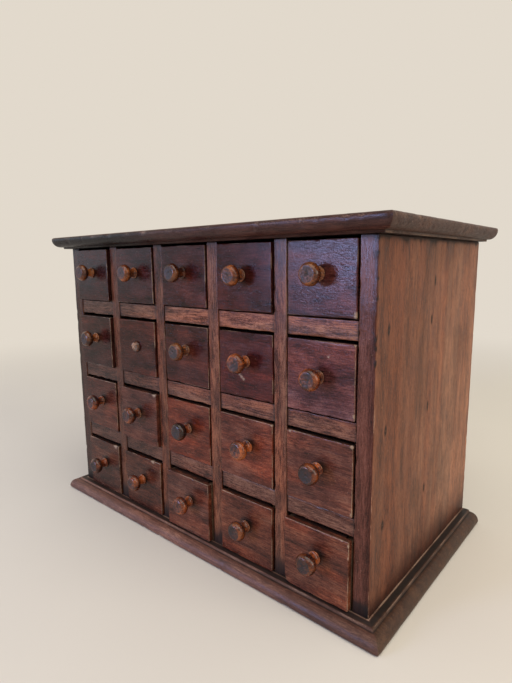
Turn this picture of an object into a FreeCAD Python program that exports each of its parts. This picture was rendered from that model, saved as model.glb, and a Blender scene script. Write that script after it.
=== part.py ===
import FreeCAD, Part
import math
import os
from FreeCAD import Vector

# Spice drawer cabinet: a tabletop chest of small drawers in a grid, between a moulded
# top board and a moulded base board. Millimetres.
# +X to the viewer's right, -Y out of the front, +Z up.
# The origin is the centre of the base board's underside.

# ---- driving dimensions -------------------------------------------------------------------

# carcass
COLUMNS = 5
ROW_OPENING = 61.5  # clear height of a row
ROW_UNEVENNESS = (-0.9, -0.2, 0.0, 1.1)  # what each row differs by, top row first
COLUMN_OPENING = 63.8  # clear width of every column
SIDE_THICKNESS = 14.5
DIVIDER_THICKNESS = 13.0
SHELF_THICKNESS = 15.0
CARCASS_DEPTH = 223.0  # front edges of the sides to the back of the cabinet
BACK_THICKNESS = 6.0
BACK_REBATE = 7.0  # how far the back panel is let into each side's thickness
SHELF_SETBACK = 1.0  # shelves' front edges behind the dividers' front edges
LAP_POINT = 0.5  # where along the depth a divider stops and the crossing shelf carries on

# moulded boards
TOP_THICKNESS = 13.0
BASE_THICKNESS = 12.5
OVERHANG = 17.0  # of the top and base boards, past the front and both sides
FILLET_REACH = 6.8  # the flat step of the moulding next to the carcass
FILLET_HEIGHT = 1.8
QUIRK_WIDTH = 2.0  # the narrow flat between the fillet and the ovolo
ARRIS_RADIUS = 2.4  # the worn outer edge of both boards

# drawers
FRONT_THICKNESS = 11.0
FRONT_LIP = 5.0  # what is left of the front outside the rebates that take the sides
FRONT_SIDE_GAP = 1.1
FRONT_BOTTOM_GAP = 1.0
FRONT_TOP_GAP = 2.2
RUNNING_GAP = 0.3  # under the drawer's sides, which run on the shelf
SIDE_DROP = 1.5  # the drawer sides' top edges below the front's
DRAWER_SIDE = 5.5
DRAWER_BACK = 5.5
BOTTOM_THICKNESS = 4.0
BOTTOM_RISE = 3.0  # the bottom board above the sides' lower edges
GROOVE_DEPTH = 2.5  # for the bottom board, in the sides and the front
BACK_CLEARANCE = 0.5  # behind a drawer that is pushed in until its front is flush

# How far each drawer front stands in front of the dividers, and how far each knob sits
# above and to the right of its front's centre: the chance places of a hand-made cabinet.
# Top row first, left to right.
PROUD = (
    (4.0, 2.0, 1.7, 2.0, 0.8),
    (4.0, 2.2, 0.6, 0.6, 0.7),
    (1.7, 4.0, 1.3, 1.7, 1.5),
    (2.5, 2.5, 5.5, 3.0, 5.0),
)
KNOB_RISE = (
    (3.0, 3.0, 3.6, 1.8, 3.5),
    (4.0, 1.0, 5.0, 3.4, 0.6),
    (4.0, 3.6, 2.2, 3.2, 2.4),
    (2.6, 3.0, 4.6, 3.4, 5.0),
)
KNOB_SHIFT = (
    (0.0, 1.2, -0.6, -2.6, -1.7),
    (1.5, 0.0, 0.0, 0.5, -1.2),
    (1.5, -0.8, 0.0, 2.6, -0.8),
    (0.8, -0.8, 3.6, 0.0, -0.2),
)
BROKEN_KNOB = (1, 1)  # row and column, from zero, of the knob whose head has snapped off

# turned knob, seen from the drawer outwards
KNOB_LENGTH = 16.5
HEAD_RADIUS = 9.0
FACE_RADIUS = 5.4
HEAD_BACK = 8.2  # from the drawer to the underside of the head
HEAD_UNDERCUT = 1.4  # the back of the head smaller in radius than its rim
RIM_PLACE = 11.6  # from the drawer to the widest part of the head
NECK_RADIUS = 4.0
NECK_PLACE = 5.0
COLLAR_RADIUS = 5.8
COLLAR_THICKNESS = 1.5
SPIGOT_RADIUS = 4.0
SPIGOT_LENGTH = 8.0
GLUE_GAP = 0.1  # round and behind the spigot
STUB_LENGTH = 5.5  # what is left of the broken knob
BREAK_PLACE = 3.4  # from the drawer's face to where the break's split faces cross the axis
SPLIT_FACES = ((24, 20), (-32, 115))  # each one's lean and its turn round the axis, degrees

# nails
NAIL_RADIUS = 0.9
NAIL_LENGTH = 30.0
PIN_LENGTH = 14.0  # the shorter pins of the back panel
NAIL_GAP = 0.05
SHELF_NAIL_SETBACKS = (19.0, 102.0)  # from the front edge of the side
BOARD_NAIL_SETBACKS = (30.0, 190.0)  # of the nails through the top and base boards
PIN_COLUMNS = (0.25, 0.75)  # of the cabinet's width, for the pins in each shelf's back edge

# ---- worked-out places --------------------------------------------------------------------

ROW_OPENINGS = [ROW_OPENING + unevenness for unevenness in ROW_UNEVENNESS]
ROWS = len(ROW_OPENINGS)
PITCH_X = COLUMN_OPENING + DIVIDER_THICKNESS
INNER_WIDTH = COLUMNS * PITCH_X - DIVIDER_THICKNESS
CARCASS_WIDTH = INNER_WIDTH + 2 * SIDE_THICKNESS
CARCASS_HEIGHT = sum(ROW_OPENINGS) + (ROWS - 1) * SHELF_THICKNESS
BOARD_DEPTH = CARCASS_DEPTH + OVERHANG
BOARD_WIDTH = CARCASS_WIDTH + 2 * OVERHANG

Y_BACK = BOARD_DEPTH / 2
Y_FRONT = Y_BACK - CARCASS_DEPTH
Y_PANEL = Y_BACK - BACK_THICKNESS
Y_LAP = Y_FRONT + LAP_POINT * (Y_PANEL - Y_FRONT)
X_LEFT = -CARCASS_WIDTH / 2
Z_FLOOR = BASE_THICKNESS
Z_TOP = Z_FLOOR + CARCASS_HEIGHT

DRAWER_WIDTH = COLUMN_OPENING - 2 * FRONT_SIDE_GAP
DRAWER_LENGTH = Y_PANEL - Y_FRONT - BACK_CLEARANCE


def column_x(column):
    """Left edge of a column's opening."""
    return X_LEFT + SIDE_THICKNESS + column * PITCH_X


def row_z(row):
    """Top face of the board that carries a row's drawers."""
    return Z_FLOOR + sum(ROW_OPENINGS[row + 1:]) + (ROWS - 1 - row) * SHELF_THICKNESS


def divider_x(number):
    """Left face of a divider, counted from zero at the left."""
    return column_x(number) + COLUMN_OPENING


def shelf_z(number):
    """Underside of a shelf, counted from zero at the top."""
    return row_z(number) - SHELF_THICKNESS


def block(x, y, z, width, depth, height):
    return Part.makeBox(width, depth, height, Vector(x, y, z))


# ---- nails --------------------------------------------------------------------------------


def nail(head, direction, length, gap=0.0):
    """A headless wire nail from its outer end, or with a gap the hole that it lies in."""
    return Part.makeCylinder(NAIL_RADIUS + gap, length + gap, head, direction)


def shelf_nails():
    places = []
    for side in (-1, 1):
        for shelf in range(ROWS - 1):
            for setback in SHELF_NAIL_SETBACKS:
                z = shelf_z(shelf) + SHELF_THICKNESS / 2
                head = Vector(side * CARCASS_WIDTH / 2, Y_FRONT + setback, z)
                places.append((head, Vector(-side, 0, 0), NAIL_LENGTH))
    return places


def board_nails(z, up):
    """The nails that hold the top or the base board to the two sides."""
    places = []
    for side in (-1, 1):
        for setback in BOARD_NAIL_SETBACKS:
            x = side * (CARCASS_WIDTH - SIDE_THICKNESS) / 2
            places.append((Vector(x, Y_FRONT + setback, z), Vector(0, 0, up), NAIL_LENGTH))
    return places


def panel_pins():
    """The pins through the back panel into the back edges of the shelves."""
    places = []
    for shelf in range(ROWS - 1):
        for share in PIN_COLUMNS:
            head = Vector(X_LEFT + share * CARCASS_WIDTH, Y_BACK, shelf_z(shelf) + SHELF_THICKNESS / 2)
            places.append((head, Vector(0, -1, 0), PIN_LENGTH))
    return places


TOP_NAILS = board_nails(Z_TOP + TOP_THICKNESS, -1)
BASE_NAILS = board_nails(0, 1)
SHELF_NAILS = shelf_nails()
PANEL_PINS = panel_pins()


def group(places):
    return Part.makeCompound([nail(*place) for place in places])


def drilled(board, *groups):
    """A board with the holes of the nails that pass through it or end in it."""
    for places in groups:
        for place in places:
            hole = nail(*place, gap=NAIL_GAP)
            if hole.BoundBox.intersect(board.BoundBox):
                board = board.cut(hole)
    return board


# ---- moulded top and base boards ----------------------------------------------------------


def moulding_edge(thickness):
    """The moulded edge in section, as steps of (reach, height) points from the carcass outwards.

    Reach is measured from the carcass face and height from the board's inner face: a flat
    fillet, a small quirk, an ovolo (a quarter round), then the rounded outer arris.
    """
    arris_start = thickness - ARRIS_RADIUS
    return [
        ("line", (FILLET_REACH, 0)),
        ("line", (FILLET_REACH, FILLET_HEIGHT)),
        ("line", (FILLET_REACH + QUIRK_WIDTH, FILLET_HEIGHT)),
        ("round", (OVERHANG, FILLET_HEIGHT), (OVERHANG, arris_start)),
        ("round", (OVERHANG, thickness), (OVERHANG - ARRIS_RADIUS, thickness)),
    ]


def quarter_round(start, corner, end):
    """An arc from start to end inside their corner: a true quarter circle if the legs are equal."""
    inset = 1 - math.sqrt(0.5)
    middle = corner + (start - corner) * inset + (end - corner) * inset
    return Part.Arc(start, middle, end).toShape()


def profile_face(steps, start, place):
    """A face from a start point and line or quarter-round steps, closed back to the start."""
    edges = []
    here = start
    for kind, *points in steps + [("line", start)]:
        if kind == "line":
            edges.append(Part.makeLine(place(here), place(points[0])))
        else:
            edges.append(quarter_round(place(here), place(points[0]), place(points[1])))
        here = points[-1]
    return Part.Face(Part.Wire(edges))


def reversed_steps(steps, start):
    """The same steps walked from their far end back to the start point."""
    ends = [start] + [step[-1] for step in steps]
    back = []
    for number in range(len(steps) - 1, -1, -1):
        back.append(steps[number][:-1] + (ends[number],))
    return back


def moulded_board(inner_z, thickness, up):
    """A board moulded on its front and both ends, flush at the back.

    Two profiles, one run along the front and one across the ends, are intersected, so the
    moulding meets itself in a mitre at each front corner. up is 1 where the board lies on
    the carcass and -1 where the carcass stands on it.
    """
    edge = moulding_edge(thickness)

    def front_place(point):
        reach, height = point
        return Vector(-BOARD_WIDTH / 2, Y_FRONT - reach, inner_z + up * height)

    back = [("line", (-CARCASS_DEPTH, thickness)), ("line", (-CARCASS_DEPTH, 0))]
    front = profile_face(edge + back, (0, 0), front_place)

    def end_place(point):
        x, height = point
        return Vector(x, Y_BACK - BOARD_DEPTH, inner_z + up * height)

    half = CARCASS_WIDTH / 2
    right = [step[:1] + tuple((half + x, z) for x, z in step[1:]) for step in edge]
    left = [step[:1] + tuple((-half - x, z) for x, z in step[1:]) for step in edge]
    left_back = reversed_steps(left, (-half, 0))
    across = right + [("line", left[-1][-1])] + left_back
    ends = profile_face(across, (half, 0), end_place)

    along = front.extrude(Vector(BOARD_WIDTH, 0, 0))
    return along.common(ends.extrude(Vector(0, BOARD_DEPTH, 0)))


# ---- carcass ------------------------------------------------------------------------------


def side_board(side):
    """One end of the carcass, rebated at the back for the back panel."""
    x = X_LEFT if side < 0 else -X_LEFT - SIDE_THICKNESS
    board = block(x, Y_FRONT, Z_FLOOR, SIDE_THICKNESS, CARCASS_DEPTH, CARCASS_HEIGHT)
    rebate_x = x + SIDE_THICKNESS - BACK_REBATE if side < 0 else x
    rebate = block(rebate_x, Y_PANEL, Z_FLOOR, BACK_REBATE, BACK_THICKNESS, CARCASS_HEIGHT)
    return drilled(board.cut(rebate), SHELF_NAILS, TOP_NAILS, BASE_NAILS)


def back_panel():
    width = INNER_WIDTH + 2 * BACK_REBATE
    panel = block(-width / 2, Y_PANEL, Z_FLOOR, width, BACK_THICKNESS, CARCASS_HEIGHT)
    return drilled(panel, PANEL_PINS)


def divider(number):
    """An upright, whole in front of the lap point and slotted behind it for every shelf."""
    x = divider_x(number)
    board = block(x, Y_FRONT, Z_FLOOR, DIVIDER_THICKNESS, Y_PANEL - Y_FRONT, CARCASS_HEIGHT)
    for shelf_number in range(ROWS - 1):
        z = shelf_z(shelf_number)
        board = board.cut(block(x, Y_LAP, z, DIVIDER_THICKNESS, Y_PANEL - Y_LAP, SHELF_THICKNESS))
    return board


def shelf(number):
    """A shelf, whole behind the lap point and slotted in front of it for every divider."""
    z = shelf_z(number)
    y = Y_FRONT + SHELF_SETBACK
    board = block(-INNER_WIDTH / 2, y, z, INNER_WIDTH, Y_PANEL - y, SHELF_THICKNESS)
    for divider_number in range(COLUMNS - 1):
        x = divider_x(divider_number)
        board = board.cut(block(x, y, z, DIVIDER_THICKNESS, Y_LAP - y, SHELF_THICKNESS))
    return drilled(board, SHELF_NAILS, PANEL_PINS)


# ---- drawers ------------------------------------------------------------------------------


def knob_centre(row, column):
    """Where a knob's axis leaves its drawer front."""
    height = ROW_OPENINGS[row] - FRONT_BOTTOM_GAP - FRONT_TOP_GAP
    x = column_x(column) + COLUMN_OPENING / 2 + KNOB_SHIFT[row][column]
    z = row_z(row) + FRONT_BOTTOM_GAP + height / 2 + KNOB_RISE[row][column]
    return Vector(x, Y_FRONT - PROUD[row][column], z)


def drawer(row, column):
    """A drawer's front, two sides, back and bottom, as five solids that seat in each other."""
    x = column_x(column) + FRONT_SIDE_GAP
    y = Y_FRONT - PROUD[row][column]
    y_end = y + DRAWER_LENGTH
    floor = row_z(row)
    front_z = floor + FRONT_BOTTOM_GAP
    front_top = floor + ROW_OPENINGS[row] - FRONT_TOP_GAP
    side_z = floor + RUNNING_GAP
    side_height = front_top - SIDE_DROP - side_z
    side_y = y + FRONT_LIP
    inner_x = x + DRAWER_SIDE
    inner_width = DRAWER_WIDTH - 2 * DRAWER_SIDE
    bottom_z = side_z + BOTTOM_RISE
    back_z = bottom_z + BOTTOM_THICKNESS

    bottom = block(
        inner_x - GROOVE_DEPTH,
        y + FRONT_THICKNESS - GROOVE_DEPTH,
        bottom_z,
        inner_width + 2 * GROOVE_DEPTH,
        DRAWER_LENGTH - FRONT_THICKNESS + GROOVE_DEPTH,
        BOTTOM_THICKNESS,
    )
    front = block(x, y, front_z, DRAWER_WIDTH, FRONT_THICKNESS, front_top - front_z)
    sides = []
    for side_x in (x, inner_x + inner_width):
        side = block(side_x, side_y, side_z, DRAWER_SIDE, y_end - side_y, side_height)
        rebate = block(side_x, side_y, front_z, DRAWER_SIDE, FRONT_THICKNESS - FRONT_LIP, front_top - front_z)
        front = front.cut(rebate)
        sides.append(side.cut(bottom))
    front = front.cut(bottom)
    front = front.cut(spigot(knob_centre(row, column), GLUE_GAP))
    back_height = side_z + side_height - back_z
    back = block(inner_x, y_end - DRAWER_BACK, back_z, inner_width, DRAWER_BACK, back_height)
    return Part.makeCompound([front, *sides, back, bottom])


def spigot(centre, gap=0.0):
    """The knob's round tenon, or with a gap the hole that it is glued into."""
    return Part.makeCylinder(SPIGOT_RADIUS + gap, SPIGOT_LENGTH + gap, centre, Vector(0, 1, 0))


def turned(steps, start, centre):
    """A solid turned about the knob's axis from (radius, distance from the drawer) steps."""

    def place(point):
        radius, out = point
        return centre + Vector(radius, -out, 0)

    face = profile_face(steps, start, place)
    return face.revolve(centre, Vector(0, 1, 0), 360)


def collar_and_neck():
    """The foot of the knob: a collar on the drawer, then a hollow neck at its thinnest."""
    return [
        ("line", (SPIGOT_RADIUS, -SPIGOT_LENGTH)),
        ("line", (SPIGOT_RADIUS, 0)),
        ("line", (COLLAR_RADIUS, 0)),
        ("line", (COLLAR_RADIUS, COLLAR_THICKNESS)),
        ("line", (NECK_RADIUS, NECK_PLACE)),
    ]


def knob(row, column):
    """A turned knob: spigot, collar, hollow neck and a round-shouldered head."""
    steps = collar_and_neck() + [
        ("round", (NECK_RADIUS, HEAD_BACK), (HEAD_RADIUS - HEAD_UNDERCUT, HEAD_BACK)),
        ("line", (HEAD_RADIUS, RIM_PLACE)),
        ("round", (HEAD_RADIUS, KNOB_LENGTH), (FACE_RADIUS, KNOB_LENGTH)),
        ("line", (0, KNOB_LENGTH)),
    ]
    return turned(steps, (0, -SPIGOT_LENGTH), knob_centre(row, column))


def broken_knob(row, column):
    """What is left where a knob snapped at its neck: spigot, collar and a slanted break."""
    centre = knob_centre(row, column)
    steps = collar_and_neck() + [
        ("line", (NECK_RADIUS, STUB_LENGTH)),
        ("line", (0, STUB_LENGTH)),
    ]
    stub = turned(steps, (0, -SPIGOT_LENGTH), centre)
    reach = 2 * COLLAR_RADIUS
    for lean, turn in SPLIT_FACES:
        chip = block(-reach, -reach, 0, 2 * reach, reach, 2 * reach)
        chip.translate(Vector(0, 0, -reach))
        chip.rotate(Vector(0, 0, 0), Vector(1, 0, 0), lean)
        chip.rotate(Vector(0, 0, 0), Vector(0, 1, 0), turn)
        chip.translate(centre - Vector(0, BREAK_PLACE, 0))
        stub = stub.cut(chip)
    return stub


# ---- the parts ----------------------------------------------------------------------------


def build_nodes():
    nodes = {
        "top_board": drilled(moulded_board(Z_TOP, TOP_THICKNESS, 1), TOP_NAILS),
        "base_board": drilled(moulded_board(Z_FLOOR, BASE_THICKNESS, -1), BASE_NAILS),
        "left_side": side_board(-1),
        "right_side": side_board(1),
        "back_panel": back_panel(),
        "shelf_nails": group(SHELF_NAILS),
        "top_board_nails": group(TOP_NAILS),
        "base_board_nails": group(BASE_NAILS),
        "back_panel_pins": group(PANEL_PINS),
    }
    for number in range(COLUMNS - 1):
        nodes[f"divider_{number + 1}"] = divider(number)
    for number in range(ROWS - 1):
        nodes[f"shelf_{number + 1}"] = shelf(number)
    for row in range(ROWS):
        for column in range(COLUMNS):
            name = f"r{row + 1}c{column + 1}"
            nodes[f"drawer_{name}"] = drawer(row, column)
            make_knob = broken_knob if (row, column) == BROKEN_KNOB else knob
            nodes[f"knob_{name}"] = make_knob(row, column)
    return nodes


os.makedirs("parts", exist_ok=True)
for name, shape in build_nodes().items():
    shape.exportStep(f"parts/{name}.step")
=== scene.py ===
import math
from functools import partial

import bpy
import numpy as np
from mathutils import Matrix, Vector


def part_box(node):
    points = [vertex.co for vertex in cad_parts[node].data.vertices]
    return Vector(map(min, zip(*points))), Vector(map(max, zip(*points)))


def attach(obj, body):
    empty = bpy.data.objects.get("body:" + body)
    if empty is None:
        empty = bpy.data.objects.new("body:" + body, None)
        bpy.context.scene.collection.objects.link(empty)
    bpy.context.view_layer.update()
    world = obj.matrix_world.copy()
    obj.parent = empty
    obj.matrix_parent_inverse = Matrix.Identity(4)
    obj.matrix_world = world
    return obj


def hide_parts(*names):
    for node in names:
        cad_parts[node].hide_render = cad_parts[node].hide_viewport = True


# The looks of a spice drawer cabinet: worn, stained boards, hand-made drawers and turned
# knobs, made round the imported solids. Metres, in the frame's own axes: +X to the right of
# the drawers, -Y out of the front, +Z up.

MM = 0.001
TO_MM = (1000, 1000, 1000)  # the materials' patterns are written in millimetres

# ---- camera ----

CAMERA_PLACE = Vector((0.35099, -0.40970, 0.28417))
YAW = math.radians(40.467)  # turned from looking along +Y towards -X
PITCH = math.radians(9.212)  # looking down
ROLL = math.radians(-0.590)
FOCAL_LENGTH = 25.39  # millimetres, on a frame 36 mm high
FRAME_HEIGHT = 36.0

# ---- sizes that the solids' boxes don't give ----

FRONT_THICKNESS = 11 * MM
FRONT_LIP = 5 * MM
FRONT_LIFT = 0.7 * MM  # the front's lower edge above the drawer sides' lower edges
SIDE_DROP = 1.5 * MM
DRAWER_SIDE = 5.5 * MM
DRAWER_BACK = 5.5 * MM
BOTTOM_RISE = 3 * MM
BOTTOM_THICKNESS = 4 * MM
GROOVE_DEPTH = 2.5 * MM
FILLET_REACH = 6.8 * MM
FILLET_HEIGHT = 1.8 * MM
FILLET_BATTER = 0.25 * MM
QUIRK_WIDTH = 2 * MM
BOARD_ARRIS = 2.4 * MM

COLLAR_RADIUS = 5.8 * MM
COLLAR_THICKNESS = 1.5 * MM
NECK_RADIUS = 4 * MM
NECK_PLACE = 5 * MM
HEAD_BACK = 8.2 * MM
HEAD_UNDERCUT = 1.4 * MM
RIM_PLACE = 11.6 * MM
FACE_RADIUS = 5.4 * MM
KNOB_SIDES = 48

# how far wear has rounded the arrises, and how deep planing and drying have left hollows
SIDE_ARRIS = 0.9 * MM
RAIL_ARRIS = 0.8 * MM
FRONT_ARRIS = 0.9 * MM
THIN_ARRIS = 0.5 * MM
WIDE_HOLLOW = 0.3 * MM
RAIL_HOLLOW = 0.15 * MM
THIN_HOLLOW = 0.1 * MM

ROWS = 4
COLUMNS = 5
DRAWERS = [f"r{row + 1}c{column + 1}" for row in range(ROWS) for column in range(COLUMNS)]
BROKEN_KNOB = "r2c2"

SEEDS = {"side": 11, "side_stain_and_shade": 17, "divider": 31, "shelf": 51, "back_panel": 71, "top_board": 91}
SEEDS |= {"base_board": 97, "front": 200, "drawer_box": 500, "stub": 800, "knob": 801}
SEED_STEP = 7  # from one drawer's seeds to the next one's

# ---- reading the frame ----

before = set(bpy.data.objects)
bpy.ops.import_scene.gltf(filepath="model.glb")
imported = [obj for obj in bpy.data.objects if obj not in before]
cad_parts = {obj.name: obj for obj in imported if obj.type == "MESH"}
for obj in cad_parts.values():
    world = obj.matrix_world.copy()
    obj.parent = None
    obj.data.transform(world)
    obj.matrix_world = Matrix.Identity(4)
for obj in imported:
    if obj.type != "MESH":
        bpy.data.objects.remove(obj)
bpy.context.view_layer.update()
scene = bpy.context.scene


def node_box(node):
    """A node's lowest and highest corner as arrays."""
    low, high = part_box(node)
    return np.array(low), np.array(high)


SIDES = {side: node_box(side) for side in ("left_side", "right_side")}
DIVIDERS = {f"divider_{n + 1}": node_box(f"divider_{n + 1}") for n in range(COLUMNS - 1)}
SHELVES = {f"shelf_{n + 1}": node_box(f"shelf_{n + 1}") for n in range(ROWS - 1)}
TOP = node_box("top_board")
BASE = node_box("base_board")
PANEL = node_box("back_panel")
LEFT_X, FRONT_Y, _ = SIDES["left_side"][0]
HALF_WIDTH = SIDES["right_side"][1][0]
OVERHANG = LEFT_X - TOP[0][0]
Y_LAP = (FRONT_Y + PANEL[0][1]) / 2  # where dividers stop and shelves carry on


# ---- smooth random fields ----


def lattice(cells, seed):
    """A repeatable random number from 0 to 1 for each whole-numbered cell corner."""
    a = cells.astype(np.int64)
    n = a[..., 0] * 73856093 ^ a[..., 1] * 19349663 ^ a[..., 2] * 83492791 ^ (seed * 2654435761)
    n = ((n ^ (n >> 13)) * 1274126177) & 0x7FFFFFFF
    return ((n ^ (n >> 16)) & 0xFFFF) / 65535.0


def field(points, size, seed):
    """Smooth noise from 0 to 1 whose bumps are about size across (a number or three)."""
    p = points / np.asarray(size, float)
    cell = np.floor(p)
    f = p - cell
    f = f * f * (3 - 2 * f)
    total = np.zeros(len(p))
    for corner in np.ndindex(2, 2, 2):
        weight = np.prod(np.where(corner, f, 1 - f), axis=1)
        total += weight * lattice(cell + np.array(corner), seed)
    return total


def rise(value, low, high):
    """A smooth rise from 0 at low to 1 at high."""
    t = np.clip((value - low) / (high - low), 0, 1)
    return t * t * (3 - 2 * t)


def bell(value, width):
    """1 where the value is 0, fading over the width to both sides."""
    return np.exp(-((value / width) ** 2))


def spot(points, place, size):
    """A soft spot: 1 at its place and fading over its size."""
    return bell(np.linalg.norm(points - place, axis=1), size)


def box_distance(points, box):
    """Distance of each point from a box, 0 inside it."""
    low, high = box
    return np.linalg.norm(np.maximum(0, np.maximum(low - points, points - high)), axis=1)


# ---- materials ----


class Shader:
    """The node tree of a material or world, written a line a node."""

    def __init__(self, holder):
        self.holder = holder
        holder.use_nodes = True
        self.tree = holder.node_tree
        self.tree.nodes.clear()

    def node(self, kind, inputs, **settings):
        """Adds a node and gives back its outputs."""
        made = self.tree.nodes.new("ShaderNode" + kind)
        for key, value in settings.items():
            setattr(made, key, value)
        for key, value in inputs.items():
            socket = made.inputs[key]
            if isinstance(value, bpy.types.NodeSocket):
                self.tree.links.new(value, socket)
            else:
                socket.default_value = value
        return made.outputs

    def attribute(self, name, output="Fac"):
        return self.node("Attribute", {}, attribute_name=name)[output]

    def math(self, operation, a, b, c=0.0):
        return self.node("Math", {0: a, 1: b, 2: c}, operation=operation)[0]

    def times(self, a, b):
        return self.math("MULTIPLY", a, b)

    def plus(self, start, *parts):
        """The start plus each part, which is a value and what it is multiplied by."""
        for value, factor in parts:
            start = self.math("MULTIPLY_ADD", value, factor, start)
        return start

    def swung(self, start, *parts):
        """The same for how far each value is above or below a half."""
        return self.plus(start, *((self.math("SUBTRACT", value, 0.5), factor) for value, factor in parts))

    def vector(self, operation, a, b):
        return self.node("VectorMath", {0: a, 1: b}, operation=operation)[0]

    def noise(self, vector, stretch, detail=3.0, roughness=0.5):
        """Noise with a number of cycles a unit along each of the vector's own axes."""
        scaled = self.vector("MULTIPLY", vector, stretch)
        settings = {"Vector": scaled, "Scale": 1.0, "Detail": detail, "Roughness": roughness}
        return self.node("TexNoise", settings)[0]

    def rise(self, value, low, high):
        inputs = {"Value": value, "From Min": low, "From Max": high}
        return self.node("MapRange", inputs, interpolation_type="SMOOTHSTEP")[0]

    def mix(self, factor, a, b, blend="MIX"):
        return self.node("Mix", {0: factor, 6: a, 7: b}, data_type="RGBA", blend_type=blend)[2]

    def ramp(self, factor, stops):
        output = self.node("ValToRGB", {0: factor})[0]
        elements = output.node.color_ramp.elements
        for _ in stops[2:]:
            elements.new(0.5)
        for element, (place, colour) in zip(elements, stops):
            element.position = place
            element.color = (*colour, 1)
        return output

    def seen(self):
        """1 for rays from the camera, and for those that a shiny or clear surface sends on."""
        rays = self.node("LightPath", {})
        sent_on = self.math("MAXIMUM", rays["Is Glossy Ray"], rays["Is Transmission Ray"])
        return self.math("MAXIMUM", rays["Is Camera Ray"], sent_on)

    def surface(self, shader):
        self.node("OutputMaterial", {"Surface": shader})
        return self.holder


def rgb(*colour):
    return (*colour, 1.0)


def darkened(colour, share):
    return rgb(*(share * value for value in colour))


def wood(name, dark, middle, light, bare, bands, threads, clouds, hue, pores, gloss, shine):
    """A stained, worn hardwood. It reads the board's own grain space, its rubbing, partly a painted
    highlight, and its soiling, partly painted shade.
    """
    s = Shader(bpy.data.materials.new(name))
    grain = s.vector("MULTIPLY", s.attribute("grain", "Vector"), TO_MM)
    wear, grime = s.attribute("wear"), s.attribute("grime")

    # the fibres wander a little to both sides of the board's length
    aside = s.plus(-4.5, (s.noise(grain, (0.012, 0.035, 0.035), 2.0), 9.0))
    grain = s.vector("ADD", grain, s.node("CombineXYZ", {"Y": aside, "Z": aside})[0])

    band = s.noise(grain, (0.012, 0.14, 0.14), 4.0, 0.6)
    other_band = s.noise(s.vector("ADD", grain, (900, 300, 300)), (0.005, 0.09, 0.09), 3.0, 0.6)
    thread = s.noise(grain, (0.075, 0.9, 0.9), 4.0, 0.65)
    fibre = s.noise(grain, (0.22, 4.5, 4.5), 2.0)
    pore = s.rise(s.noise(grain, (0.20, 2.6, 2.6), 2.0), 0.58, 0.70)
    cloud = s.noise(grain, (0.035, 0.060, 0.060), 4.0, 0.62)
    speckle = s.noise(grain, (0.9, 1.5, 1.5), 4.0, 0.75)
    speck = s.rise(s.noise(grain, (0.65, 0.8, 0.8), 1.0, 0.3), 0.76, 0.82)

    figure = s.swung(0.5, (band, 3.0 * bands), (thread, 2.4 * threads), (fibre, 1.6 * threads))
    figure = s.swung(figure, (speckle, 1.9 * threads), (cloud, 3.0 * clouds))
    colour = s.ramp(figure, [(0.02, dark), (0.48, middle), (0.98, light)])
    cast = s.mix(s.rise(other_band, 0.36, 0.64), rgb(1.16, 0.94, 0.80), rgb(0.86, 1.05, 1.16))
    colour = s.mix(hue, colour, s.mix(1.0, colour, cast, "MULTIPLY"))
    colour = s.mix(s.times(pore, pores), colour, darkened(dark, 0.4))
    colour = s.mix(1.0, colour, s.attribute("tint", "Vector"), "MULTIPLY")

    # old varnish creeps into pebbles, with duller and darker pits between them
    pebbles, pebbled = s.noise(grain, (0.7, 0.8, 0.8), 2.0, 0.6), s.attribute("pebbled")
    crept = s.times(s.rise(pebbles, 0.56, 0.42), pebbled)
    colour = s.mix(s.times(crept, 0.6), colour, darkened(dark, 0.5))

    # the stain is rubbed through to bare wood in a ragged line, which along front edges is also a painted
    # highlight, and soiling and painted shade darken corners and gaps
    rubbed = s.times(s.rise(s.swung(wear, (speckle, 1.3)), 0.25, 0.85), 0.85)
    rubbed = s.math("MAXIMUM", rubbed, s.times(speck, 0.55))
    colour = s.mix(rubbed, colour, s.mix(thread, darkened(bare, 0.5), rgb(*bare)))
    blackened = s.rise(s.swung(grime, (speckle, 0.7)), 0.1, 0.95)
    colour = s.mix(s.times(blackened, 0.88), colour, rgb(0.012, 0.009, 0.008))

    polish = s.attribute("polish")
    rough = s.swung(0.60 - 0.34 * gloss, (cloud, 0.35), (speckle, 0.5), (thread, 0.5))
    rough = s.plus(rough, (pore, 0.12), (rubbed, 0.15), (blackened, 0.15), (polish, -0.30), (crept, 0.28))
    rough = s.math("MINIMUM", s.math("MAXIMUM", rough, 0.06), 1.0)

    peel = s.noise(grain, (0.45, 0.6, 0.6), 3.0, 0.6)
    pebble = s.times(s.times(pebbles, 1.5), pebbled)
    height = s.plus(s.times(thread, 0.45), (pore, -0.25), (speckle, 0.4))
    height = s.plus(s.math("ADD", pebble, height), (peel, 0.8))
    bump = s.node("Bump", {"Strength": 0.9, "Distance": 0.13 * MM, "Height": height})[0]
    bsdf = {"Base Color": colour, "Roughness": rough, "Normal": bump, "Specular IOR Level": shine}
    return s.surface(s.node("BsdfPrincipled", bsdf)[0])


def rusty_iron():
    s = Shader(bpy.data.materials.new("rusty_iron"))
    place = s.node("TexCoord", {})["Object"]
    place = s.vector("MULTIPLY", place, TO_MM)
    rust = s.rise(s.noise(place, (1.4, 1.4, 1.4), 4.0, 0.65), 0.4, 0.62)
    pits = s.noise(place, (4.0, 4.0, 4.0), 2.0)
    colour = s.mix(rust, rgb(0.035, 0.032, 0.030), rgb(0.11, 0.042, 0.018))
    bump = s.node("Bump", {"Strength": 0.6, "Distance": 0.1 * MM, "Height": pits})[0]
    rough = s.plus(0.5, (rust, 0.3))
    bsdf = {"Base Color": colour, "Roughness": rough, "Normal": bump, "Metallic": 0.6}
    return s.surface(s.node("BsdfPrincipled", bsdf)[0])


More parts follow.
